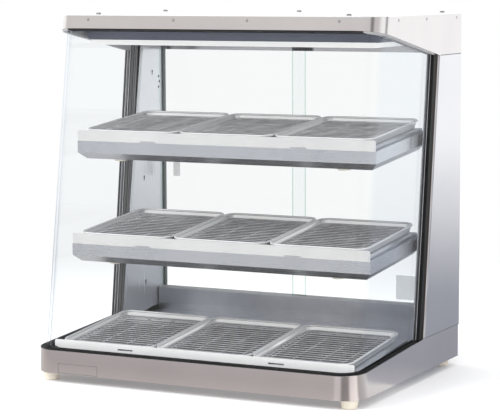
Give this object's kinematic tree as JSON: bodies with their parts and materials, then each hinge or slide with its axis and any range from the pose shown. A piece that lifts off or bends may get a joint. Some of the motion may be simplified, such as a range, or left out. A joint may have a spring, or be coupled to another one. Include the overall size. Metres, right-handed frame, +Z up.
{
  "type": "countertop hot food display case",
  "caption": "Countertop heated food display case with bent front glass, tilted tiers of wire-racked trays, a lit canopy and rear sliding glass doors.",
  "frame": {"origin": "centre of the outline at the height of the feet's bottoms", "axes": "+X to the right seen from the customer's side, +Y towards the rear doors, +Z up"},
  "size_m": [0.631, 0.468, 0.648],
  "materials": {
    "polished_steel": "bright polished stainless sheet",
    "satin_steel": "fine satin stainless sheet",
    "tray_steel": "bright drawn stainless sheet",
    "screw_steel": "plated screw and rivet heads",
    "bright_wire": "bright plated wire",
    "track_aluminium": "satin anodised extrusion",
    "clear_glass": "clear toughened glass",
    "black_rubber": "satin black extruded rubber",
    "cream_rubber": "matte cream moulded rubber",
    "grey_plastic": "matte grey-green plastic strip",
    "white_diffuser": "white translucent diffuser",
    "lamp_housing": "white lamp housing",
    "heater_sheath": "oxidised element sheath",
    "thermostat_housing": "moulded thermostat housing",
    "black_plastic": "matte black moulding",
    "red_plastic": "red translucent rocker",
    "clear_plastic": "translucent moulded finger pull"
  },
  "bodies": {
    "case": {"base_shell": "polished_steel", "base_floor": "satin_steel", "rubber_feet": "cream_rubber", "base_rear_panel": "satin_steel", "heated_deck": "polished_steel", "heating_elements": "heater_sheath", "bottom_tray_stop": "satin_steel", "lower_glass_gasket": "black_rubber", "upper_glass_gasket": "black_rubber", "front_glass": "clear_glass", "glass_edge_seals": "black_rubber", "right_side_panel": "polished_steel", "left_side_panel": "polished_steel", "right_inner_plate": "polished_steel", "left_inner_plate": "polished_steel", "door_jambs": "grey_plastic", "rear_sill": "satin_steel", "door_tracks": "track_aluminium", "canopy_shell": "polished_steel", "canopy_lid": "satin_steel", "dome_screws": "screw_steel", "band_rivets": "screw_steel", "ceiling_box": "satin_steel", "lamp_diffuser": "white_diffuser", "lamp_bar": "lamp_housing", "middle_shelf_pan": "satin_steel", "middle_shelf_plate": "polished_steel", "middle_tray_stop": "satin_steel", "top_shelf_pan": "satin_steel", "top_shelf_plate": "polished_steel", "top_tray_stop": "satin_steel", "shelf_brackets": "satin_steel", "shelf_bumpers": "cream_rubber", "thermostat_body": "thermostat_housing", "switch_bezel": "black_plastic", "cord_gland": "black_plastic"},
    "left_door": {"left_door_glass": "clear_glass", "left_door_pull": "clear_plastic"},
    "right_door": {"right_door_glass": "clear_glass", "right_door_pull": "clear_plastic"},
    "thermostat_dial": {"thermostat_knob": "black_plastic"},
    "power_rocker": {"switch_rocker": "red_plastic"},
    "bottom_left_tray": {"bottom_left_tray": "tray_steel"},
    "bottom_left_rack": {"bottom_left_rack": "bright_wire"},
    "bottom_centre_tray": {"bottom_centre_tray": "tray_steel"},
    "bottom_centre_rack": {"bottom_centre_rack": "bright_wire"},
    "bottom_right_tray": {"bottom_right_tray": "tray_steel"},
    "bottom_right_rack": {"bottom_right_rack": "bright_wire"},
    "middle_left_tray": {"middle_left_tray": "tray_steel"},
    "middle_left_rack": {"middle_left_rack": "bright_wire"},
    "middle_centre_tray": {"middle_centre_tray": "tray_steel"},
    "middle_centre_rack": {"middle_centre_rack": "bright_wire"},
    "middle_right_tray": {"middle_right_tray": "tray_steel"},
    "middle_right_rack": {"middle_right_rack": "bright_wire"},
    "top_left_tray": {"top_left_tray": "tray_steel"},
    "top_left_rack": {"top_left_rack": "bright_wire"},
    "top_centre_tray": {"top_centre_tray": "tray_steel"},
    "top_centre_rack": {"top_centre_rack": "bright_wire"},
    "top_right_tray": {"top_right_tray": "tray_steel"},
    "top_right_rack": {"top_right_rack": "bright_wire"}
  },
  "joints": [
    {"name": "left_door_slide", "type": "slide", "parent": "case", "child": "left_door", "axis": [1, 0, 0], "range_m": [0, 0.27]},
    {"name": "right_door_slide", "type": "slide", "parent": "case", "child": "right_door", "axis": [1, 0, 0], "range_m": [-0.27, 0]},
    {"name": "thermostat_turn", "type": "hinge", "parent": "case", "child": "thermostat_dial", "pos_m": [0.18, 0.2085, 0.047], "axis": [0, 1, 0], "range_deg": [0, 270]},
    {"name": "power_press", "type": "hinge", "parent": "case", "child": "power_rocker", "pos_m": [0.24, 0.2045, 0.047], "axis": [1, 0, 0], "range_deg": [0, 20]},
    {"name": "bottom_left_tray_slide", "type": "slide", "parent": "case", "child": "bottom_left_tray", "axis": [0, 0.9962, 0.0872], "range_m": [0, 0.12]},
    {"name": "bottom_left_rack_lift", "type": "slide", "parent": "bottom_left_tray", "child": "bottom_left_rack", "axis": [0, -0.0872, 0.9962], "range_m": [0, 0.045]},
    {"name": "bottom_centre_tray_slide", "type": "slide", "parent": "case", "child": "bottom_centre_tray", "axis": [0, 0.9962, 0.0872], "range_m": [0, 0.12]},
    {"name": "bottom_centre_rack_lift", "type": "slide", "parent": "bottom_centre_tray", "child": "bottom_centre_rack", "axis": [0, -0.0872, 0.9962], "range_m": [0, 0.045]},
    {"name": "bottom_right_tray_slide", "type": "slide", "parent": "case", "child": "bottom_right_tray", "axis": [0, 0.9962, 0.0872], "range_m": [0, 0.12]},
    {"name": "bottom_right_rack_lift", "type": "slide", "parent": "bottom_right_tray", "child": "bottom_right_rack", "axis": [0, -0.0872, 0.9962], "range_m": [0, 0.045]},
    {"name": "middle_left_tray_slide", "type": "slide", "parent": "case", "child": "middle_left_tray", "axis": [0, 0.9962, 0.0872], "range_m": [0, 0.08]},
    {"name": "middle_left_rack_lift", "type": "slide", "parent": "middle_left_tray", "child": "middle_left_rack", "axis": [0, -0.0872, 0.9962], "range_m": [0, 0.045]},
    {"name": "middle_centre_tray_slide", "type": "slide", "parent": "case", "child": "middle_centre_tray", "axis": [0, 0.9962, 0.0872], "range_m": [0, 0.08]},
    {"name": "middle_centre_rack_lift", "type": "slide", "parent": "middle_centre_tray", "child": "middle_centre_rack", "axis": [0, -0.0872, 0.9962], "range_m": [0, 0.045]},
    {"name": "middle_right_tray_slide", "type": "slide", "parent": "case", "child": "middle_right_tray", "axis": [0, 0.9962, 0.0872], "range_m": [0, 0.08]},
    {"name": "middle_right_rack_lift", "type": "slide", "parent": "middle_right_tray", "child": "middle_right_rack", "axis": [0, -0.0872, 0.9962], "range_m": [0, 0.045]},
    {"name": "top_left_tray_slide", "type": "slide", "parent": "case", "child": "top_left_tray", "axis": [0, 0.9962, 0.0872], "range_m": [0, 0.065]},
    {"name": "top_left_rack_lift", "type": "slide", "parent": "top_left_tray", "child": "top_left_rack", "axis": [0, -0.0872, 0.9962], "range_m": [0, 0.045]},
    {"name": "top_centre_tray_slide", "type": "slide", "parent": "case", "child": "top_centre_tray", "axis": [0, 0.9962, 0.0872], "range_m": [0, 0.065]},
    {"name": "top_centre_rack_lift", "type": "slide", "parent": "top_centre_tray", "child": "top_centre_rack", "axis": [0, -0.0872, 0.9962], "range_m": [0, 0.045]},
    {"name": "top_right_tray_slide", "type": "slide", "parent": "case", "child": "top_right_tray", "axis": [0, 0.9962, 0.0872], "range_m": [0, 0.065]},
    {"name": "top_right_rack_lift", "type": "slide", "parent": "top_right_tray", "child": "top_right_rack", "axis": [0, -0.0872, 0.9962], "range_m": [0, 0.045]}
  ]
}
